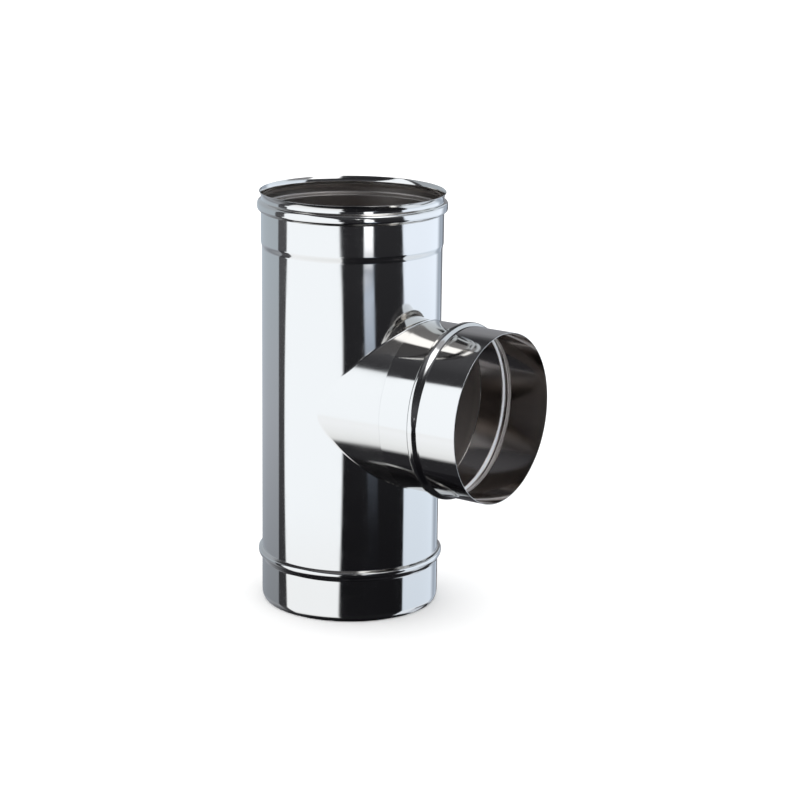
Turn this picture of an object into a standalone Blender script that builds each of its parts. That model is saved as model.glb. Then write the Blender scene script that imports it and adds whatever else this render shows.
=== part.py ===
"""Stainless steel flue tee, 90 degrees, single wall.

A thin vertical tube with a socket at the top, a plain spigot below its stop
bead at the bottom, and a branch at right angles on its side. The tube and the
tapered collar that is drawn out of its side are one sheet. The branch spigot is
a second rolled ring, lapped over the collar's end.

Metres, +Z up. The tube stands on its lower edge, and the branch points along +X.
"""
import math

import bpy

# Sheet and fits
SHEET = 0.0005              # thickness of the steel
SOCKET_CLEARANCE = 0.0004   # between a spigot and the socket that takes it
LAP_CLEARANCE = 0.0003      # between the collar's end and the spigot lapped over it

# Tube
TUBE_DIAMETER = 0.150       # outside, also of the lower spigot
TUBE_HEIGHT = 0.350
SOCKET_DEPTH = 0.0415       # from the upper edge down to the step
STEP_LENGTH = 0.0058        # height of the step between socket and tube
LIP_HEIGHT = 0.0048         # height of the flared lip
LIP_FLARE = 0.0015          # how far the lip opens past the socket's wall
GASKET_BEAD_DEPTH = 0.0116  # from the upper edge down to the bead's crest
GASKET_BEAD_RISE = 0.0031
GASKET_BEAD_FLANKS = (0.0052, 0.0049)   # heights of the bead's upper and lower flank
STOP_BEAD_HEIGHT = 0.0412   # from the lower edge up to the bead's crest
STOP_BEAD_RISE = 0.0031
STOP_BEAD_FLANKS = (0.0034, 0.0066)
SPIGOT_CURL_HEIGHT = 0.0055 # height of the lower edge's inward curl
SPIGOT_CURL = 0.0016        # how far the lower edge is curled in

# Collar, drawn out of the tube's side
BRANCH_HEIGHT = 0.1795      # of the branch's axis over the lower edge
COLLAR_FLANK = 0.0022       # from the tube's flanks in to the collar's root
COLLAR_RISE = 0.0032        # from the tube's wall out to the seam
COLLAR_LAP = 0.0068         # length of the collar inside the branch spigot

# Branch spigot
BRANCH_REDUCTION = 0.0090   # how much less its diameter is than the tube's
BRANCH_LENGTH = 0.0723      # from the seam to its open end
BRANCH_BEAD_DEPTH = 0.0412  # from the open end back to the bead's crest
BRANCH_BEAD_RISE = 0.0031
BRANCH_BEAD_FLANKS = (0.0066, 0.0034)   # towards the open end and towards the tube

# Shape of a bead's flank, which falls as (1 - share ** power) ** 2 from the crest
FULL = 5                    # a full, steep flank
GENTLE = 2                  # a long, gentle one

STEEL_COLOUR = (0.66, 0.64, 0.61)

# Fineness of the round forms
STEPS = 72                  # faces round a tube
FLANK_STEPS = 5             # faces across each flank of a bead
LIP_STEPS = 3               # faces down the lip
SLOPE_STEPS = 3             # faces down the step
CURL_STEPS = 3              # faces down the lower edge's curl

# Sizes that follow
TUBE_RADIUS = TUBE_DIAMETER / 2
SOCKET_RADIUS = TUBE_RADIUS + SOCKET_CLEARANCE + SHEET
BRANCH_RADIUS = TUBE_RADIUS - BRANCH_REDUCTION / 2
COLLAR_ROOT_RADIUS = TUBE_RADIUS - COLLAR_FLANK
COLLAR_END_RADIUS = BRANCH_RADIUS - SHEET - LAP_CLEARANCE
COLLAR_ROOT_REACH = math.sqrt(TUBE_RADIUS ** 2 - COLLAR_ROOT_RADIUS ** 2)
SEAM_REACH = TUBE_RADIUS + COLLAR_RISE
COLLAR_REACH = SEAM_REACH + COLLAR_LAP
BRANCH_REACH = SEAM_REACH + BRANCH_LENGTH
CUT_OVERRUN = 0.010         # how far a cutter passes the edge that it opens

# The origin is in the middle of the whole part's length, on its lower edge
WIDEST_RADIUS = max(
    SOCKET_RADIUS + max(GASKET_BEAD_RISE, LIP_FLARE),
    TUBE_RADIUS + STOP_BEAD_RISE,
)
TUBE_AXIS_X = (WIDEST_RADIUS - BRANCH_REACH) / 2


def collection(name):
    made = bpy.data.collections.new(name)
    bpy.context.scene.collection.children.link(made)
    return made


def steel(name, colour, roughness):
    made = bpy.data.materials.new(name)
    made.use_nodes = True
    shader = made.node_tree.nodes["Principled BSDF"]
    shader.inputs["Base Color"].default_value = (*colour, 1.0)
    shader.inputs["Metallic"].default_value = 1.0
    shader.inputs["Roughness"].default_value = roughness
    made.diffuse_color = (*colour, 1.0)
    return made


def bead(crest, flanks, powers, radius, rise):
    """Points of an outward bead on a wall, in falling order, ends included."""
    points = []
    for i in range(-FLANK_STEPS, FLANK_STEPS + 1):
        side = 0 if i < 0 else 1
        share = math.sin(math.pi / 2 * abs(i) / FLANK_STEPS)
        swell = (1 - share ** powers[side]) ** 2
        height = crest + math.copysign(share * flanks[side], -i)
        points.append((radius + rise * swell, height))
    return points


def lip():
    """Points of the flared lip, from its edge down to the socket's wall."""
    points = []
    for i in range(LIP_STEPS + 1):
        share = i / LIP_STEPS
        flare = LIP_FLARE * (1 - share) ** 2
        points.append((SOCKET_RADIUS + flare, TUBE_HEIGHT - LIP_HEIGHT * share))
    return points


def step():
    """Points of the smooth step from the socket's wall down to the tube's."""
    points = []
    for i in range(SLOPE_STEPS + 1):
        share = i / SLOPE_STEPS
        drop = (SOCKET_RADIUS - TUBE_RADIUS) * (3 * share ** 2 - 2 * share ** 3)
        points.append((SOCKET_RADIUS - drop, TUBE_HEIGHT - SOCKET_DEPTH - STEP_LENGTH * share))
    return points


def curl():
    """Points of the lower edge's inward curl, from its start down to the edge."""
    points = []
    for i in range(CURL_STEPS + 1):
        share = i / CURL_STEPS
        radius = TUBE_RADIUS - SPIGOT_CURL * share ** 2
        points.append((radius, SPIGOT_CURL_HEIGHT * (1 - share)))
    return points


def tube_profile():
    """Outside of the tube, from the upper edge down to the lower one."""
    gasket_bead = TUBE_HEIGHT - GASKET_BEAD_DEPTH
    return [
        *lip(),
        *bead(gasket_bead, GASKET_BEAD_FLANKS, (FULL, FULL), SOCKET_RADIUS, GASKET_BEAD_RISE),
        *step(),
        *bead(STOP_BEAD_HEIGHT, STOP_BEAD_FLANKS, (FULL, GENTLE), TUBE_RADIUS, STOP_BEAD_RISE),
        *curl(),
    ]


def collar_profile():
    """Outside of the collar, from its open end back to the tube's axis."""
    return [
        (COLLAR_END_RADIUS, COLLAR_REACH),
        (COLLAR_END_RADIUS, SEAM_REACH),
        (COLLAR_ROOT_RADIUS, COLLAR_ROOT_REACH),
        (COLLAR_ROOT_RADIUS, 0.0),
    ]


def spigot_profile():
    """Outside of the branch spigot, from its open end back to the seam."""
    stop_bead = BRANCH_REACH - BRANCH_BEAD_DEPTH
    return [
        (BRANCH_RADIUS, BRANCH_REACH),
        *bead(stop_bead, BRANCH_BEAD_FLANKS, (GENTLE, FULL), BRANCH_RADIUS, BRANCH_BEAD_RISE),
        (BRANCH_RADIUS, SEAM_REACH),
    ]


def inside(profile):
    """The same profile one sheet further in, with its two ends cut square."""
    offset = []
    for i, (radius, height) in enumerate(profile):
        if i in (0, len(profile) - 1):
            offset.append((radius - SHEET, height))
            continue
        before, after = profile[i - 1], profile[i + 1]
        above = math.atan2(radius - before[0], before[1] - height)
        below = math.atan2(after[0] - radius, height - after[1])
        slope = (above + below) / 2
        mitre = SHEET / math.cos((above - below) / 2)
        offset.append((radius - mitre * math.cos(slope), height - mitre * math.sin(slope)))
    return offset


def solid_profile(profile):
    """A profile closed to its axis at both ends."""
    return [(0.0, profile[0][1]), *profile, (0.0, profile[-1][1])]


def overrun(profile, first=0.0, last=0.0):
    """A profile carried straight on past its ends, for a cutter."""
    longer = list(profile)
    if first:
        longer.insert(0, (profile[0][0], profile[0][1] + first))
    if last:
        longer.append((profile[-1][0], profile[-1][1] - last))
    return longer


def turned(name, profile, group, closed=False):
    """An object with a profile at +X, turned about its own Z axis."""
    mesh = bpy.data.meshes.new(name)
    points = [(radius, 0.0, height) for radius, height in profile]
    edges = [(i, i + 1) for i in range(len(points) - 1)]
    if closed:
        edges.append((len(points) - 1, 0))
    mesh.from_pydata(points, edges, [])
    made = bpy.data.objects.new(name, mesh)
    group.objects.link(made)
    screw = made.modifiers.new("Turn", "SCREW")
    screw.axis = "Z"
    screw.angle = 2 * math.pi
    screw.steps = STEPS
    screw.render_steps = STEPS
    screw.use_merge_vertices = True
    screw.merge_threshold = 0.00001
    screw.use_smooth_shade = True
    return made


def cutter(name, profile, group):
    made = turned(name, solid_profile(profile), group)
    made.hide_render = True
    made.display_type = "WIRE"
    return made


def along_branch(piece):
    """Stands a turned piece's axis on the branch's axis, pointing along +X."""
    piece.location = (TUBE_AXIS_X, 0.0, BRANCH_HEIGHT)
    piece.rotation_euler = (0.0, math.pi / 2, 0.0)
    return piece


def on_tube(piece):
    """Stands a turned piece's axis on the tube's axis."""
    piece.location = (TUBE_AXIS_X, 0.0, 0.0)
    return piece


def boolean(piece, other, operation):
    made = piece.modifiers.new(other.name, "BOOLEAN")
    made.object = other
    made.operation = operation
    made.solver = "EXACT"


def finish(piece, material, crease_angle):
    """Applies the modifiers and shades the round walls smooth."""
    bpy.context.view_layer.update()
    graph = bpy.context.evaluated_depsgraph_get()
    mesh = bpy.data.meshes.new_from_object(piece.evaluated_get(graph))
    piece.modifiers.clear()
    piece.data = mesh
    mesh.name = piece.name
    mesh.materials.clear()
    mesh.materials.append(material)
    mesh.shade_smooth()
    mesh.set_sharp_from_angle(angle=crease_angle)
    return piece


def body_tube(parts, cutters):
    """The rolled tube with the collar drawn out of its side, one sheet thick."""
    outside = tube_profile()
    tube = on_tube(turned("body_tube", solid_profile(outside), parts))
    collar_outside = collar_profile()
    collar = along_branch(cutter("collar_outside", collar_outside, cutters))
    cavity = overrun(inside(outside), CUT_OVERRUN, CUT_OVERRUN)
    tube_cavity = on_tube(cutter("tube_cavity", cavity, cutters))
    bore = overrun(inside(collar_outside), CUT_OVERRUN)
    collar_bore = along_branch(cutter("collar_bore", bore, cutters))
    boolean(tube, collar, "UNION")
    boolean(tube, tube_cavity, "DIFFERENCE")
    boolean(tube, collar_bore, "DIFFERENCE")
    return finish(tube, steel("mirror_steel", STEEL_COLOUR, 0.08), math.radians(35))


def branch_spigot(parts):
    """The rolled ring lapped over the collar's end, with its stop bead."""
    outside = spigot_profile()
    wall = [*outside, *reversed(inside(outside))]
    ring = along_branch(turned("branch_spigot", wall, parts, closed=True))
    return finish(ring, steel("spigot_steel", STEEL_COLOUR, 0.06), math.radians(50))


def build():
    for old in list(bpy.data.objects):
        bpy.data.objects.remove(old, do_unlink=True)
    parts = collection("flue_tee")
    cutters = collection("cutters")
    body_tube(parts, cutters)
    branch_spigot(parts)


build()
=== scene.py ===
"""Looks of the stainless steel flue tee: fine meshes of its two pieces, their steel, and their studio.

Metres, +Z up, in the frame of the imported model. The tube stands on its lower edge, and the branch points
along +X.
"""
import math

import bpy
import numpy as np
from mathutils import Matrix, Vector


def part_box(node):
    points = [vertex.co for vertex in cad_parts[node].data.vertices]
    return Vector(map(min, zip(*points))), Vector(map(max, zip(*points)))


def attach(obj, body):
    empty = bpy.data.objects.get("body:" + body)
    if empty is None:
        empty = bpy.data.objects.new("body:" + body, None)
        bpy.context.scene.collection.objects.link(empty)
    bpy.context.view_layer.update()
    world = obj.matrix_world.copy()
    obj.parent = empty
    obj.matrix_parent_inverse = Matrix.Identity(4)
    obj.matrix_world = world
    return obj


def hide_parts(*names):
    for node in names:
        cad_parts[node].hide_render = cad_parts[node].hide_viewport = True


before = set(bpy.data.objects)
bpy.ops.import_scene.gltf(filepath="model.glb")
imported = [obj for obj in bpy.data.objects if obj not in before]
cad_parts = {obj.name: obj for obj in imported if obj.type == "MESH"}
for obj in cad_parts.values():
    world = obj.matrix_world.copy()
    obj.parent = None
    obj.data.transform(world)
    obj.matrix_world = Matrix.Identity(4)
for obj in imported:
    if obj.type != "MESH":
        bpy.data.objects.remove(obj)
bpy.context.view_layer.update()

# Sizes that the frame gives
TUBE_LOW, TUBE_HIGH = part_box("body_tube")
RING_LOW, RING_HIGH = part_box("branch_spigot")
TUBE_HEIGHT = TUBE_HIGH[2]
BRANCH_HEIGHT = (RING_LOW[2] + RING_HIGH[2]) / 2

# Sizes of the sheet, the tube and its socket
SHEET = 0.0005
TUBE_RADIUS = 0.0750
SOCKET_RADIUS = 0.0759
SOCKET_DEPTH = 0.0415
STEP_LENGTH = 0.0058
LIP_HEIGHT = 0.0048
LIP_FLARE = 0.0015
GASKET_BEAD_DEPTH = 0.0116              # from the upper edge down to the bead's crest
GASKET_BEAD_RISE = 0.0031
GASKET_BEAD_FLANKS = (0.0052, 0.0049)   # heights of a bead's upper and lower flank
GASKET_BEAD_POWERS = (5, 5)             # a higher power makes a fuller, steeper flank
STOP_BEAD_HEIGHT = 0.0412               # from the lower edge up to the bead's crest
STOP_BEAD_RISE = 0.0031
STOP_BEAD_FLANKS = (0.0034, 0.0066)
STOP_BEAD_POWERS = (5, 2)
SPIGOT_CURL_HEIGHT = 0.0055
SPIGOT_CURL = 0.0016
TUBE_AXIS_X = TUBE_LOW[0] + SOCKET_RADIUS + GASKET_BEAD_RISE

# Sizes of the drawn collar, with reaches measured from the tube's axis
BRANCH_RADIUS = 0.0705
COLLAR_ROOT_RADIUS = 0.0728
SEAM_REACH = 0.0782
COLLAR_REACH = 0.0850
LAP_GAP = 0.00003           # between the collar's end and the spigot that laps over it
COLLAR_END_RADIUS = BRANCH_RADIUS - SHEET - LAP_GAP
COLLAR_ROOT_REACH = math.sqrt(TUBE_RADIUS ** 2 - COLLAR_ROOT_RADIUS ** 2)
CREASE_FILLET = 0.0011      # from the crease to where its rounding starts, on either side

# Sizes of the branch spigot
BRANCH_REACH = RING_HIGH[0] - TUBE_AXIS_X
BRANCH_BEAD_DEPTH = 0.0412  # from the open end back to the bead's crest
BRANCH_BEAD_RISE = 0.0031
BRANCH_BEAD_FLANKS = (0.0066, 0.0034)   # towards the open end and towards the tube
BRANCH_BEAD_POWERS = (2, 5)
RIM_BULGE = 0.0002          # how far a sheet's rounded edge stands past its two faces

# Fineness
TUBE_COLUMNS = 240
LIP_ROWS = 12               # these four count the steps along a profile
BEAD_ROWS = 18              # on each flank
STEP_ROWS = 14
CURL_ROWS = 8
HALF_PATCH_COLUMNS = 61     # of the tube's columns, on either side of the branch
PATCH_HALF_HEIGHT = 0.084
PATCH_ROWS = 40
PATCH_RINGS = 14
PATCH_CROWDING = 1.3        # over 1, the patch's rings lie closer together near the crease
CREASE_ROUNDS = 40          # of the search for the crease
FILLET_ROWS = 6
COLLAR_ROWS = 14
LAP_ROWS = 2
RING_COLUMNS = 216
RIM_ROWS = 4

# Shares of satin, from 0 for bright sheet to 1 for the dullest
CREASE_SATIN = 0.7
SEAM_SATIN = 1.0
LAP_SATIN = 0.5
FORMED_SATIN = 0.4          # on beads, step and lip
FORMED_TILT = 1 / 3         # the tilt of the normal from which that share is full

# Painted highlight: a pale, matt band on the flank of the branch's groove that faces the open end, standing
# in for a bright line of reflected light. Its places are shares of the flank's length: where it starts and
# ends, counted from the crest, and how long it rises and falls
HIGHLIGHT_START = 0.64
HIGHLIGHT_RISE = 0.06
HIGHLIGHT_END = 0.96
HIGHLIGHT_FALL = 0.05

# Finish of the steel, with painted shade on its inside and a painted highlight in the branch's groove
STEEL_COLOUR = (0.66, 0.64, 0.61)
# Colours of the inside, darker and browner than the steel: painted shade of the hollow
BODY_INSIDE_SHADED_COLOUR = (0.50, 0.46, 0.43)
SPIGOT_INSIDE_SHADED_COLOUR = (0.60, 0.555, 0.525)
# Pale colour of the painted highlight in the branch's groove
PAINTED_HIGHLIGHT_COLOUR = (0.86, 0.90, 0.95)
GRAIN_SCALE = 60.0
GRAIN_LIMITS = (0.3, 0.7)       # the noise between which the roughness changes
ROUGHNESS_LIMITS = (0.05, 0.08)
SATIN_ROUGHNESS = 0.075         # what a full share of satin adds
INSIDE_SATIN_ROUGHNESS = 0.4    # what it adds besides, on the inside
BODY_INSIDE_ROUGHNESS = 0.24    # what the inside adds
SPIGOT_INSIDE_ROUGHNESS = 0.05
PAINTED_HIGHLIGHT_ROUGHNESS = 0.3          # what the painted highlight adds

# Studio and floor
PALE_LIGHT = 1.6
FLOOR_COLOUR = (0.86, 0.86, 0.86, 1.0)
FLOOR_HALF_WIDTH = 12.0
FLOOR_GAP = 0.0005              # under the tee

# Camera, as fitted to the photograph
CAMERA_AZIMUTH = math.radians(35.856)
CAMERA_DISTANCE = 1.900     # from the tube's axis, level
CAMERA_HEIGHT = 0.66517
CAMERA_YAW = 0.0217
CAMERA_PITCH = 0.2540
CAMERA_ROLL = -0.0135
CAMERA_LENS = 104.61
CAMERA_SENSOR = 36.0
CAMERA_CLIP = (0.05, 60.0)


def point(radius, height, out, up):
    """One point of a profile: its radius and height, and its outward normal."""
    size = math.hypot(out, up)
    return radius, height, out / size, up / size


def bead(crest, flanks, powers, radius, rise):
    """Outward bead round a wall, in falling order. From the crest, each flank falls as
    (1 - share ** power) ** 2 of the rise."""
    points = []
    for i in range(-BEAD_ROWS, BEAD_ROWS + 1):
        side = 0 if i < 0 else 1
        share = math.sin(math.pi / 2 * abs(i) / BEAD_ROWS)
        power = powers[side]
        drop = 2 * power * share ** (power - 1) * (1 - share ** power) * rise / flanks[side]
        place = math.copysign(share * flanks[side], -i)
        outward = radius + rise * (1 - share ** power) ** 2
        points.append(point(outward, crest + place, 1, math.copysign(drop, place)))
    return points


def lip():
    """Flared lip, from the upper edge down to the gasket bead."""
    points = []
    for i in range(LIP_ROWS + 1):
        rest = 1 - i / LIP_ROWS
        radius = SOCKET_RADIUS + LIP_FLARE * rest ** 2
        height = TUBE_HEIGHT - RIM_BULGE - (LIP_HEIGHT - RIM_BULGE) * (1 - rest)
        points.append(point(radius, height, LIP_HEIGHT, -2 * LIP_FLARE * rest))
    return points


def step():
    """Smooth step from the socket's radius down to the tube's."""
    points = []
    top = TUBE_HEIGHT - SOCKET_DEPTH
    drop = SOCKET_RADIUS - TUBE_RADIUS
    for i in range(STEP_ROWS + 1):
        share = i / STEP_ROWS
        radius = SOCKET_RADIUS - drop * (3 * share ** 2 - 2 * share ** 3)
        slope = drop * 6 * share * (1 - share)
        points.append(point(radius, top - STEP_LENGTH * share, STEP_LENGTH, -slope))
    return points


def curl():
    """Inward curl of the lower edge, in falling order."""
    points = []
    for i in range(CURL_ROWS + 1):
        share = i / CURL_ROWS
        radius = TUBE_RADIUS - SPIGOT_CURL * share ** 2
        height = RIM_BULGE + (SPIGOT_CURL_HEIGHT - RIM_BULGE) * (1 - share)
        points.append(point(radius, height, SPIGOT_CURL_HEIGHT, -2 * SPIGOT_CURL * share))
    return points


def wall(radius, top, bottom, rows):
    """Points of a straight wall between two heights, without its ends."""
    return [point(radius, top + (bottom - top) * i / rows, 1, 0) for i in range(1, rows)]


def tube_profile():
    """Outside of the tube from its upper edge down, and the rows of the patch's upper and lower edge."""
    gasket_bead = TUBE_HEIGHT - GASKET_BEAD_DEPTH
    patch_top = BRANCH_HEIGHT + PATCH_HALF_HEIGHT
    patch_bottom = BRANCH_HEIGHT - PATCH_HALF_HEIGHT
    step_top = TUBE_HEIGHT - SOCKET_DEPTH
    points = lip()
    points += bead(gasket_bead, GASKET_BEAD_FLANKS, GASKET_BEAD_POWERS, SOCKET_RADIUS, GASKET_BEAD_RISE)
    points += wall(SOCKET_RADIUS, points[-1][1], step_top, rows=5)
    points += step()
    points += wall(TUBE_RADIUS, points[-1][1], patch_top, rows=6)
    first = len(points)
    points += [point(TUBE_RADIUS, patch_top, 1, 0)]
    points += wall(TUBE_RADIUS, patch_top, patch_bottom, rows=PATCH_ROWS)
    points += [point(TUBE_RADIUS, patch_bottom, 1, 0)]
    last = len(points) - 1
    points += wall(TUBE_RADIUS, patch_bottom, STOP_BEAD_HEIGHT + STOP_BEAD_FLANKS[0], rows=7)
    points += bead(STOP_BEAD_HEIGHT, STOP_BEAD_FLANKS, STOP_BEAD_POWERS, TUBE_RADIUS, STOP_BEAD_RISE)
    points += wall(TUBE_RADIUS, points[-1][1], SPIGOT_CURL_HEIGHT, rows=4)
    points += curl()
    return np.array(points), first, last


class Skin:
    """The outside of a sheet: points with their outward normals, finish and painted highlight, and the faces
    between them.
    """

    def __init__(self):
        self.points, self.normals, self.satin, self.marks, self.faces = [], [], [], [], []

    def add(self, points, normals, satin=0.0, marks=0.0):
        """Adds a row of points and returns their numbers. Satin is on both sides, the painted highlight on
        the inside.
        """
        first = len(self.points)
        self.points.extend(np.asarray(points, float))
        self.normals.extend(np.asarray(normals, float))
        self.satin.extend(np.broadcast_to(satin, len(points)))
        self.marks.extend(np.broadcast_to(marks, len(points)))
        return np.arange(first, len(self.points))

    def band(self, upper, lower):
        """Faces between two closed rows that have the same number of points."""
        for i in range(len(upper)):
            j = (i + 1) % len(upper)
            self.faces.append((upper[i], lower[i], lower[j], upper[j]))


def collar_radius(reach):
    """Radius of the tapered collar at a reach from the tube's axis."""
    share = (reach - COLLAR_ROOT_REACH) / (SEAM_REACH - COLLAR_ROOT_REACH)
    return COLLAR_ROOT_RADIUS + (COLLAR_END_RADIUS - COLLAR_ROOT_RADIUS) * share


def crease_reach(turn):
    """Reach at which the collar meets the tube, at each angle round the branch."""
    reach = np.full_like(turn, COLLAR_ROOT_REACH)
    for _ in range(CREASE_ROUNDS):
        reach = np.sqrt(TUBE_RADIUS ** 2 - (collar_radius(reach) * np.cos(turn)) ** 2)
    return reach


def on_collar(reach, turn):
    """Points and normals of the collar's outside."""
    radius = collar_radius(reach)
    points = np.stack([reach, radius * np.cos(turn), BRANCH_HEIGHT + radius * np.sin(turn)], axis=-1)
    slope = (COLLAR_END_RADIUS - COLLAR_ROOT_RADIUS) / (SEAM_REACH - COLLAR_ROOT_REACH)
    normals = np.stack([np.full_like(turn, -slope), np.cos(turn), np.sin(turn)], axis=-1)
    return points, normals / math.hypot(1, slope)


def on_tube(angle, height):
    """Points and normals of the tube's outside, with the angle measured from +X."""
    normals = np.stack([np.cos(angle), np.sin(angle), np.zeros_like(angle)], axis=-1)
    points = normals * TUBE_RADIUS
    points[..., 2] = height
    return points, normals


def around_branch(turn):
    """Unit vectors square to the branch's axis, at each angle round it."""
    return np.stack([np.zeros_like(turn), np.cos(turn), np.sin(turn)], axis=-1)


def across(curve_x, curve_y):
    """Unit vectors square to a closed plane curve, pointing out of it where it runs anticlockwise."""
    along_x = np.roll(curve_x, -1) - np.roll(curve_x, 1)
    along_y = np.roll(curve_y, -1) - np.roll(curve_y, 1)
    size = np.hypot(along_x, along_y)
    return along_y / size, -along_x / size


def formed(tilt):
    """Share of satin where the normal of a bead, step or lip tilts this much."""
    return FORMED_SATIN * min(1.0, abs(tilt) / FORMED_TILT)


def tube_grid(skin):
    """The tube outside the patch. Returns the numbers of its first row, its last row and the patch's edge,
    and the angles and heights along that edge."""
    profile, first, last = tube_profile()
    step_angle = 2 * math.pi / TUBE_COLUMNS
    angles = (np.arange(TUBE_COLUMNS) - TUBE_COLUMNS // 2) * step_angle
    middle = TUBE_COLUMNS // 2
    left, right = middle - HALF_PATCH_COLUMNS, middle + HALF_PATCH_COLUMNS
    numbers = np.full((len(profile), TUBE_COLUMNS), -1)
    for i, (radius, height, out, up) in enumerate(profile):
        beside_patch = first < i < last
        keep = np.array([not (beside_patch and left < j < right) for j in range(TUBE_COLUMNS)])
        ways = np.stack([np.cos(angles), np.sin(angles)], axis=-1)[keep]
        points = np.column_stack([ways * radius, np.full(len(ways), height)])
        normals = np.column_stack([ways * out, np.full(len(ways), up)])
        numbers[i, keep] = skin.add(points, normals, formed(up))
    for i in range(len(profile) - 1):
        for j in range(TUBE_COLUMNS):
            k = (j + 1) % TUBE_COLUMNS
            if first <= i < last and left <= j < right:
                continue
            skin.faces.append((numbers[i, j], numbers[i + 1, j], numbers[i + 1, k], numbers[i, k]))
    heights = profile[:, 1]
    edge = [(first, j) for j in range(right, left, -1)]
    edge += [(i, left) for i in range(first, last)]
    edge += [(last, j) for j in range(left, right)]
    edge += [(i, right) for i in range(last, first, -1)]
    rows, columns = np.array(edge).T
    return numbers[0], numbers[-1], numbers[rows, columns], angles[columns], heights[rows]


def collar(skin, edge, edge_angle, edge_height):
    """The patch round the crease, the crease's rounding, and the collar with its lap. Returns the numbers
    of its last row."""
    half_angle = HALF_PATCH_COLUMNS * 2 * math.pi / TUBE_COLUMNS
    turn = np.arctan2((edge_height - BRANCH_HEIGHT) / PATCH_HALF_HEIGHT, edge_angle / half_angle)
    reach = crease_reach(turn)
    crease, _ = on_collar(reach, turn)
    angle = np.arctan2(crease[:, 1], crease[:, 0])

    out_x, out_y = across(TUBE_RADIUS * angle, crease[:, 2])
    start_angle = angle + CREASE_FILLET * out_x / TUBE_RADIUS
    start_height = crease[:, 2] + CREASE_FILLET * out_y
    start, start_normal = on_tube(start_angle, start_height)

    unrolled = TUBE_RADIUS * np.unwrap(turn)
    along_reach = np.roll(reach, -1) - np.roll(reach, 1)
    along_turn = np.roll(unrolled, -1) - np.roll(unrolled, 1)
    full_turn = 2 * math.pi * TUBE_RADIUS
    along_turn = (along_turn + full_turn / 2) % full_turn - full_turn / 2
    size = np.hypot(along_reach, along_turn)
    end_reach = reach + CREASE_FILLET * along_turn / size
    end_turn = turn - CREASE_FILLET * along_reach / size / collar_radius(reach)
    end, end_normal = on_collar(end_reach, end_turn)

    row = edge
    for i in range(PATCH_RINGS - 1, -1, -1):
        share = (i / PATCH_RINGS) ** PATCH_CROWDING
        points, normals = on_tube(
            start_angle + (edge_angle - start_angle) * share,
            start_height + (edge_height - start_height) * share,
        )
        inner = skin.add(points, normals)
        skin.band(inner, row)
        row = inner
    for i in range(1, FILLET_ROWS + 1):
        share = i / FILLET_ROWS
        points = (1 - share) ** 2 * start + 2 * share * (1 - share) * crease + share ** 2 * end
        normals = (1 - share) * start_normal + share * end_normal
        normals /= np.linalg.norm(normals, axis=1, keepdims=True)
        inner = skin.add(points, normals, CREASE_SATIN * share)
        skin.band(inner, row)
        row = inner
    for i in range(1, COLLAR_ROWS + 1):
        share = i / COLLAR_ROWS
        row_reach = end_reach + (SEAM_REACH - end_reach) * share
        row_turn = end_turn + (turn - end_turn) * share
        points, normals = on_collar(row_reach, row_turn)
        inner = skin.add(points, normals, CREASE_SATIN + (SEAM_SATIN - CREASE_SATIN) * share)
        skin.band(inner, row)
        row = inner
    for i in range(1, LAP_ROWS + 1):
        row_reach = SEAM_REACH + (COLLAR_REACH - RIM_BULGE - SEAM_REACH) * i / LAP_ROWS
        normals = around_branch(turn)
        points = normals * COLLAR_END_RADIUS + np.array([row_reach, 0.0, BRANCH_HEIGHT])
        inner = skin.add(points, normals, LAP_SATIN)
        skin.band(inner, row)
        row = inner
    return row


def rim(points, normals, ahead):
    """Rows that round a sheet's edge from its outside to its inside, without the two ends."""
    rows = []
    for i in range(1, RIM_ROWS):
        turn = math.pi * i / RIM_ROWS
        across_sheet, along_sheet = math.cos(turn), math.sin(turn)
        places = points - normals * SHEET / 2 * (1 - across_sheet) + ahead * RIM_BULGE * along_sheet
        ways = normals * across_sheet * RIM_BULGE + ahead * along_sheet * SHEET / 2
        rows.append((places, ways / np.linalg.norm(ways, axis=1, keepdims=True)))
    return rows


def sheet_object(name, skin, edges, material):
    """A closed sheet: the skin, its lining one sheet's thickness further in, and rounded rims between them.
    Each edge gives the numbers of its row, the way it faces, and whether its faces run the other way."""
    outside, normals = np.array(skin.points), np.array(skin.normals)
    count = len(outside)
    points = [outside, outside - normals * SHEET]
    ways = [normals, -normals]
    satin = [np.array(skin.satin)] * 2
    # The lining below the lip is the inside: a rougher finish with painted shade. The painted highlight lies
    # only on the lining.
    inner = [np.zeros(count), (outside[:, 2] < TUBE_HEIGHT - LIP_HEIGHT).astype(float)]
    marks = [np.zeros(count), np.array(skin.marks)]
    faces = [tuple(face) for face in skin.faces]
    faces += [tuple(count + i for i in reversed(face)) for face in skin.faces]
    total = 2 * count
    for row, ahead, turned in edges:
        rows = [row]
        for places, facing in rim(outside[row], normals[row], np.array(ahead, float)):
            points.append(places)
            ways.append(facing)
            satin.append(satin[0][row])
            inner.append(np.zeros(len(row)))
            marks.append(np.zeros(len(row)))
            rows.append(np.arange(total, total + len(row)))
            total += len(row)
        rows.append(row + count)
        for upper, lower in zip(rows, rows[1:]):
            for i in range(len(row)):
                j = (i + 1) % len(row)
                face = (upper[j], lower[j], lower[i], upper[i])
                faces.append(face if turned else face[::-1])
    places = np.concatenate(points) + np.array([TUBE_AXIS_X, 0.0, 0.0])
    mesh = bpy.data.meshes.new(name)
    mesh.from_pydata(places.tolist(), [], [[int(i) for i in face] for face in faces])
    mesh.shade_smooth()
    mesh.normals_split_custom_set_from_vertices(np.concatenate(ways).tolist())
    for label, values in (("satin", satin), ("inner", inner), ("marks", marks)):
        attribute = mesh.attributes.new(label, "FLOAT", "POINT")
        attribute.data.foreach_set("value", np.concatenate(values).astype(np.float32))
    mesh.materials.append(material)
    made = bpy.data.objects.new(name, mesh)
    bpy.context.scene.collection.objects.link(made)
    return made


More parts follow.
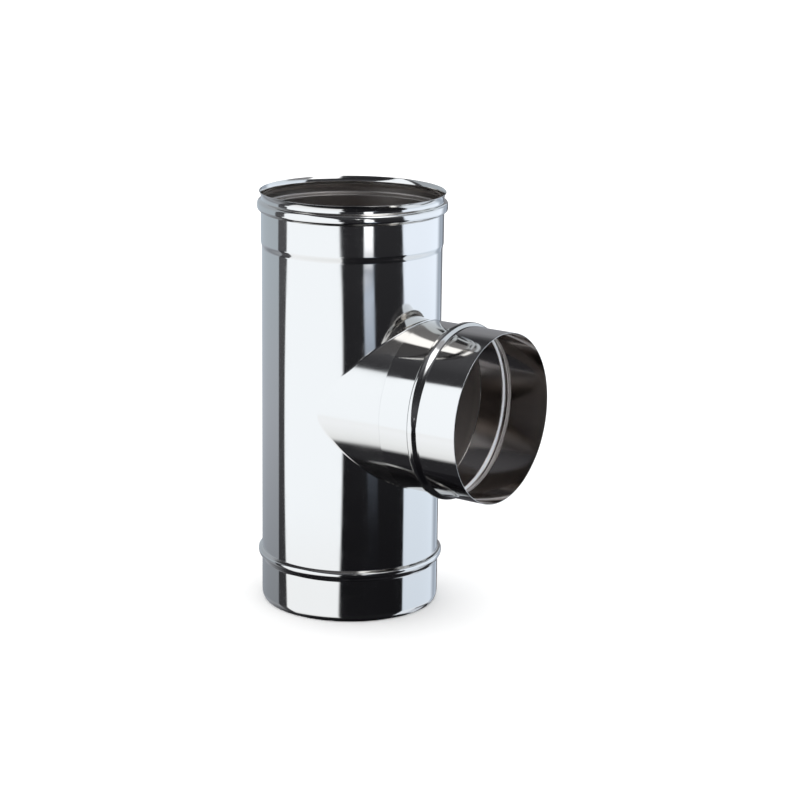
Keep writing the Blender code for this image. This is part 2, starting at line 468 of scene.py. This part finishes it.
def body(material):
    """The tube, in one sheet with its collar."""
    skin = Skin()
    top, bottom, edge, edge_angle, edge_height = tube_grid(skin)
    end = collar(skin, edge, edge_angle, edge_height)
    edges = [(top, (0, 0, 1), True), (bottom, (0, 0, -1), False), (end, (1, 0, 0), True)]
    made = sheet_object("tee_body", skin, edges, material)
    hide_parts("body_tube")
    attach(made, "root")


def spigot(material):
    """The branch spigot, turned about the branch's axis."""
    crest = BRANCH_REACH - BRANCH_BEAD_DEPTH
    end = BRANCH_REACH - RIM_BULGE
    start = SEAM_REACH + RIM_BULGE
    profile = [point(BRANCH_RADIUS, end, 1, 0)]
    profile += wall(BRANCH_RADIUS, end, crest + BRANCH_BEAD_FLANKS[0], rows=6)
    profile += bead(crest, BRANCH_BEAD_FLANKS, BRANCH_BEAD_POWERS, BRANCH_RADIUS, BRANCH_BEAD_RISE)
    profile += wall(BRANCH_RADIUS, profile[-1][1], start, rows=5)
    profile += [point(BRANCH_RADIUS, start, 1, 0)]
    skin = Skin()
    turn = np.arange(RING_COLUMNS) * 2 * math.pi / RING_COLUMNS
    around = around_branch(turn)
    rows = []
    for radius, reach, out, along in profile:
        points = around * radius + np.array([reach, 0.0, BRANCH_HEIGHT])
        normals = around * out + np.array([along, 0.0, 0.0])
        # Painted highlight on the flank of the groove that faces the open end, fading in and out
        share = (crest - reach) / BRANCH_BEAD_FLANKS[1]
        marks = min(1.0, (share - HIGHLIGHT_START) / HIGHLIGHT_RISE, (HIGHLIGHT_END - share) / HIGHLIGHT_FALL)
        rows.append(skin.add(points, normals, formed(along), max(0.0, marks)))
    for upper, lower in zip(rows, rows[1:]):
        skin.band(upper, lower)
    edges = [(rows[0], (1, 0, 0), True), (rows[-1], (-1, 0, 0), False)]
    made = sheet_object("branch_ring", skin, edges, material)
    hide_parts("branch_spigot")
    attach(made, "root")


class Nodes:
    """Short calls for making a node tree."""

    def __init__(self, tree):
        self.tree = tree

    def new(self, kind, **settings):
        node = self.tree.nodes.new(kind)
        for name, value in settings.items():
            setattr(node, name, value)
        return node

    def feed(self, socket, value):
        if isinstance(value, bpy.types.NodeSocket):
            self.tree.links.new(value, socket)
        else:
            socket.default_value = value

    def math(self, operation, *values):
        node = self.new("ShaderNodeMath", operation=operation)
        for socket, value in zip(node.inputs, values):
            self.feed(socket, value)
        return node.outputs[0]

    def clamp(self, value, low, high):
        return self.math("MINIMUM", self.math("MAXIMUM", value, low), high)

    def moved(self, value, amount, factor):
        """The value with a multiple of the amount added."""
        return self.math("MULTIPLY_ADD", amount, factor, value)

    def ramp(self, value, low, high, low_value=0.0, high_value=1.0):
        """A smooth change from low_value to high_value as value goes from low to high."""
        node = self.new("ShaderNodeMapRange", interpolation_type="SMOOTHSTEP")
        for socket, given in zip(node.inputs, (value, low, high, low_value, high_value)):
            self.feed(socket, given)
        return node.outputs[0]

    def band(self, value, low, high, soft):
        """1 between low and high and 0 outside, fading over soft at either end."""
        rise = self.ramp(value, low - soft / 2, low + soft / 2)
        fall = self.ramp(value, high - soft / 2, high + soft / 2, 1.0, 0.0)
        return self.math("MULTIPLY", rise, fall)

    def attribute(self, name):
        return self.new("ShaderNodeAttribute", attribute_name=name).outputs["Fac"]

    def mix(self, factor, first, second):
        node = self.new("ShaderNodeMix", data_type="RGBA")
        self.feed(node.inputs["Factor"], factor)
        self.feed(node.inputs[6], first)
        self.feed(node.inputs[7], second)
        return node.outputs[2]


def steel(name, inside_shaded_colour, inside_roughness, with_painted_highlight=False):
    """Bright stainless steel, dulled by the mesh's satin, rougher on the inside and darkened there with
    painted shade.
    Steel with a painted highlight is matt, pale and not metallic where the mesh's painted highlight is."""
    made = bpy.data.materials.new(name)
    made.use_nodes = True
    nodes = Nodes(made.node_tree)
    shader = made.node_tree.nodes["Principled BSDF"]
    place = nodes.new("ShaderNodeTexCoord").outputs["Object"]
    grain = nodes.new("ShaderNodeTexNoise")
    nodes.feed(grain.inputs["Vector"], place)
    nodes.feed(grain.inputs["Scale"], GRAIN_SCALE)
    satin = nodes.attribute("satin")
    inside = nodes.attribute("inner")
    rough = nodes.ramp(grain.outputs[0], *GRAIN_LIMITS, *ROUGHNESS_LIMITS)
    rough = nodes.moved(rough, satin, SATIN_ROUGHNESS)
    rough = nodes.moved(rough, inside, inside_roughness)
    rough = nodes.moved(rough, nodes.math("MULTIPLY", inside, satin), INSIDE_SATIN_ROUGHNESS)
    # The inside's darker colour is painted shade of the hollow
    colour = nodes.mix(inside, (*STEEL_COLOUR, 1.0), (*inside_shaded_colour, 1.0))
    metallic = 1.0
    if with_painted_highlight:
        # Painted highlight: pale, matt and not metallic where the mesh carries it
        marks = nodes.attribute("marks")
        rough = nodes.moved(rough, marks, PAINTED_HIGHLIGHT_ROUGHNESS)
        colour = nodes.mix(marks, colour, (*PAINTED_HIGHLIGHT_COLOUR, 1.0))
        metallic = nodes.math("SUBTRACT", 1.0, marks)
    nodes.feed(shader.inputs["Metallic"], metallic)
    nodes.feed(shader.inputs["Roughness"], rough)
    nodes.feed(shader.inputs["Base Color"], colour)
    return made


def lit(red, green, blue, gain=1.0):
    """The light whose mirror image in the steel has this colour, on the 0 to 255 scale of a screen."""
    values = [v / 255 for v in (red, green, blue)]
    linear = [v / 12.92 if v <= 0.04045 else ((v + 0.055) / 1.055) ** 2.4 for v in values]
    return (*[gain * v / own for v, own in zip(linear, STEEL_COLOUR)], 1.0)


class Room(Nodes):
    """Nodes of the studio's light. Azimuths are degrees to the right of the camera's, as seen from the
    object, and elevations are degrees over the horizon."""

    def __init__(self, tree):
        super().__init__(tree)
        turned = self.new("ShaderNodeVectorRotate", rotation_type="Z_AXIS")
        self.feed(turned.inputs["Vector"], self.new("ShaderNodeTexCoord").outputs["Generated"])
        self.feed(turned.inputs["Angle"], -CAMERA_AZIMUTH)
        parts = self.new("ShaderNodeSeparateXYZ")
        self.feed(parts.inputs[0], turned.outputs[0])
        x, y, z = parts.outputs
        self.azimuth = self.math("DEGREES", self.math("ARCTAN2", x, self.math("MULTIPLY", y, -1.0)))
        self.behind = self.math("DEGREES", self.math("ARCTAN2", x, y))
        self.elevation = self.math("DEGREES", self.math("ARCSINE", z))
        # The sides of some panels lean above -12 degrees of elevation, and bow about -15.2 degrees
        self.risen = self.math("MAXIMUM", self.math("ADD", self.elevation, 12.0), 0.0)
        away = self.math("ADD", self.elevation, 15.2)
        self.bow = self.math("MINIMUM", self.math("MULTIPLY", away, away), 20.0)

    def column(self, *stops):
        """A colour that changes with the elevation, given as elevations and colours from the lowest up."""
        node = self.new("ShaderNodeValToRGB")
        self.feed(node.inputs[0], self.math("MULTIPLY_ADD", self.elevation, 1 / 180, 0.5))
        elements = node.color_ramp.elements
        while len(elements) < len(stops):
            elements.new(0.5)
        for element, (level, colour) in zip(elements, stops):
            element.position = level / 180 + 0.5
        for element, (level, colour) in zip(elements, stops):
            element.color = lit(*colour)
        return node.outputs[0]

    def grey(self, *stops):
        return self.column(*[(level, (value, value, value + 2)) for level, value in stops])

    def panel(self, light, colour, sides, ends, soft, about=None):
        """The light with a panel in it: its sides in degrees of azimuth, its ends in degrees of elevation,
        and how many degrees both take to fade. The value in about stands for the azimuth, if given."""
        wide = self.band(self.azimuth if about is None else about, *sides, soft[0])
        high = self.band(self.elevation, *ends, soft[1])
        return self.mix(self.math("MULTIPLY", wide, high), light, colour)


def rear(room, light):
    """A grey wall behind the object."""
    wall = room.grey((-42, 44), (-24, 78), (-12, 122), (24, 122), (31, 104), (34, 80), (40, 48))
    return room.panel(light, wall, (-16, 18), (-44, 46), (8, 4), room.behind)


def left_side(room, light):
    """A grey wall, and the dark strip between it and the softbox."""
    wall = room.column(
        (-46, (50, 50, 52)), (-40, (88, 89, 91)), (-30, (130, 132, 135)), (-25, (140, 143, 147)),
        (-20, (121, 125, 129)), (-15, (153, 157, 163)), (-11, (160, 168, 174)), (32, (152, 156, 160)))
    light = room.panel(light, wall, (-170, -84), (-47, 38), (6, 6))
    strip = room.grey((-46, 38), (-30, 74), (-23, 70), (-19, 49), (-11, 76), (8, 61), (30, 60))
    leaning = room.moved(room.azimuth, room.risen, -0.42)
    return room.panel(light, strip, (-107, -84), (-60, 34), (2, 6), leaning)


def softbox(room, light):
    """The large softbox on the left, whose upper edge slopes down at its far left."""
    white = room.column(
        (-45, (214, 215, 214)), (-36, (230, 232, 232)), (-24, (238, 240, 242)), (-19, (236, 238, 239)),
        (-17.3, (241, 245, 248)), (30, (243, 247, 250)))
    leaning = room.moved(room.moved(room.azimuth, room.risen, -0.22), room.bow, -0.265)
    slope = room.clamp(room.math("MULTIPLY_ADD", room.azimuth, 0.9, 71.5), -4.0, 4.0)
    below_top = room.ramp(room.math("SUBTRACT", room.elevation, slope), 36.0, 40.4, 1.0, 0.0)
    above_foot = room.ramp(room.elevation, -46.5, -41.5)
    mask = room.math("MULTIPLY", room.band(leaning, -95.3, 10.0, 2.5), below_top)
    return room.mix(room.math("MULTIPLY", mask, above_foot), light, white)


def front(room, light):
    """The dark side where the camera stands, with a narrow window in it. The window leans, has a bar across
    it, and is narrower above the bar."""
    dark = room.grey(
        (-64, 13), (-52, 19), (-44, 27), (-28, 28), (-22, 19), (-18, 20), (-14, 32), (-9, 42), (2, 64),
        (8, 66), (15, 50), (26, 40), (40, 40), (52, 62), (62, 95))
    swept = room.moved(room.moved(room.azimuth, room.risen, 0.95), room.bow, 0.195)
    sides = room.math("MULTIPLY", room.ramp(swept, -12.3, -8.3), room.band(room.azimuth, -85.0, 80.0, 4.0))
    light = room.mix(sides, light, dark)
    window = room.column(
        (-17.5, (24, 25, 28)), (-15, (80, 86, 95)), (-13, (158, 168, 180)), (-11.65, (184, 195, 209)),
        (-11.42, (176, 187, 200)), (-11.33, (140, 148, 162)), (-11.25, (60, 65, 72)),
        (-11.15, (60, 65, 72)), (-11.1, (320, 321, 322)))
    slanted = room.math("ADD", room.azimuth, room.math("MULTIPLY_ADD", room.elevation, 1.6, 17.6))
    light = room.panel(light, window, (13.3, 26.5), (-18, -4), (3, 4), slanted)
    return room.panel(light, dark, (8.0, 14.3), (-11.15, -4), (2.5, 0.1))


def right_side(room, light):
    """A pale wall, whose sides lean between -17 and -9 degrees, and the greyer panels over and under it."""
    wall = room.column(
        (-28, (222, 228, 234)), (-20.5, (203, 212, 222)), (-16, (214, 224, 234)), (-11, (229, 237, 247)),
        (2, (226, 234, 243)), (14, (214, 223, 232)), (30, (205, 213, 219)), (46, (196, 202, 206)))
    upward = room.clamp(room.math("ADD", room.elevation, 17.0), 0.0, 8.0)
    further = room.clamp(room.math("ADD", room.elevation, 12.4), 0.0, 2.5)
    drifted = room.moved(room.moved(room.azimuth, upward, 0.7), further, 1.8)
    light = room.panel(light, wall, (73.5, 160), (-29, 30), (2.5, 6), drifted)
    light = room.panel(light, wall, (97, 124), (20, 41), (6, 5))
    above = room.grey((27, 140), (38, 122), (50, 132), (57, 150))
    light = room.panel(light, above, (56, 100), (27, 60), (8, 6))
    light = room.panel(light, lit(216, 222, 228), (73.5, 104), (-47, -27), (2.5, 6))
    light = room.panel(light, lit(190, 196, 203), (100, 137), (-47, -34), (4, 6))
    return room.panel(light, lit(150, 158, 168), (138, 158), (-28, 26), (14, 4))


def overhead(room, light):
    """A grey panel and a bright one, and an arch that falls towards the rear."""
    light = room.panel(light, room.grey((58, 158), (75, 150)), (58, 112), (57, 76), (6, 5))
    light = room.panel(light, lit(250, 251, 252, 1.6), (19, 61), (30, 73), (10, 10))
    past = room.math("MAXIMUM", room.math("SUBTRACT", room.azimuth, 100.0), 0.0)
    arched = room.moved(room.elevation, room.math("MULTIPLY", past, past), 1 / 68)
    across_arch = room.band(arched, 57.5, 70.5, 3.0)
    along_arch = room.band(room.azimuth, 96.0, 161.0, 4.0)
    return room.mix(room.math("MULTIPLY", across_arch, along_arch), light, lit(198, 205, 211))


def studio():
    """A dark room with soft panels round the object, seen only in the steel. The floor and all that is matt
    get plain pale light instead, and the camera sees that light as its background."""
    world = bpy.data.worlds.new("studio")
    bpy.context.scene.world = world
    world.use_nodes = True
    world.cycles.sampling_method = "NONE"
    world.node_tree.nodes.clear()
    room = Room(world.node_tree)
    light = room.grey(
        (-90, 28), (-58, 22), (-48, 42), (-34, 44), (-20, 30), (0, 45), (50, 52), (60, 70), (85, 95))
    for part in (rear, left_side, softbox, front, right_side, overhead):
        light = part(room, light)
    seen = room.new("ShaderNodeLightPath").outputs
    pale = (PALE_LIGHT, PALE_LIGHT, PALE_LIGHT, 1.0)
    light = room.mix(seen["Is Diffuse Ray"], light, pale)
    light = room.mix(seen["Is Camera Ray"], light, pale)
    background = room.new("ShaderNodeBackground")
    room.feed(background.inputs["Color"], light)
    output = room.new("ShaderNodeOutputWorld")
    room.feed(output.inputs["Surface"], background.outputs[0])


def floor():
    """A plain pale floor that the steel doesn't mirror."""
    mesh = bpy.data.meshes.new("floor")
    half = FLOOR_HALF_WIDTH
    corners = [(-half, -half, 0), (half, -half, 0), (half, half, 0), (-half, half, 0)]
    mesh.from_pydata(corners, [], [(0, 1, 2, 3)])
    made = bpy.data.objects.new("floor", mesh)
    bpy.context.scene.collection.objects.link(made)
    made.location.z = -FLOOR_GAP
    made.visible_glossy = False
    material = bpy.data.materials.new("pale_floor")
    material.use_nodes = True
    shader = material.node_tree.nodes["Principled BSDF"]
    shader.inputs["Base Color"].default_value = FLOOR_COLOUR
    shader.inputs["Roughness"].default_value = 1.0
    shader.inputs["Specular IOR Level"].default_value = 0.0
    mesh.materials.append(material)


def camera():
    """Camera at the photograph's angle, with no shift."""
    cos_pitch, sin_pitch = math.cos(CAMERA_PITCH), math.sin(CAMERA_PITCH)
    forward = np.array([math.sin(CAMERA_YAW) * cos_pitch, math.cos(CAMERA_YAW) * cos_pitch, -sin_pitch])
    right = np.array([math.cos(CAMERA_YAW), -math.sin(CAMERA_YAW), 0.0])
    down = np.cross(forward, right)
    cos_roll, sin_roll = math.cos(CAMERA_ROLL), math.sin(CAMERA_ROLL)
    right, down = cos_roll * right + sin_roll * down, cos_roll * down - sin_roll * right
    cos_turn, sin_turn = math.cos(CAMERA_AZIMUTH), math.sin(CAMERA_AZIMUTH)
    turn = np.array([[cos_turn, -sin_turn, 0], [sin_turn, cos_turn, 0], [0, 0, 1.0]])
    columns = turn @ np.column_stack([right, -down, -forward])
    place = turn @ np.array([0.0, -CAMERA_DISTANCE, CAMERA_HEIGHT]) + np.array([TUBE_AXIS_X, 0.0, 0.0])
    made = bpy.data.cameras.new("camera")
    made.lens = CAMERA_LENS
    made.sensor_width = CAMERA_SENSOR
    made.clip_start, made.clip_end = CAMERA_CLIP
    holder = bpy.data.objects.new("camera", made)
    bpy.context.scene.collection.objects.link(holder)
    matrix = Matrix([[*map(float, columns[i]), float(place[i])] for i in range(3)] + [[0, 0, 0, 1]])
    holder.matrix_world = matrix
    bpy.context.scene.camera = holder


body(steel("body_steel_look", BODY_INSIDE_SHADED_COLOUR, BODY_INSIDE_ROUGHNESS))
spigot(steel("ring_steel_look", SPIGOT_INSIDE_SHADED_COLOUR, SPIGOT_INSIDE_ROUGHNESS, with_painted_highlight=True))
studio()
floor()
camera()
bpy.context.scene.view_settings.view_transform = "Standard"
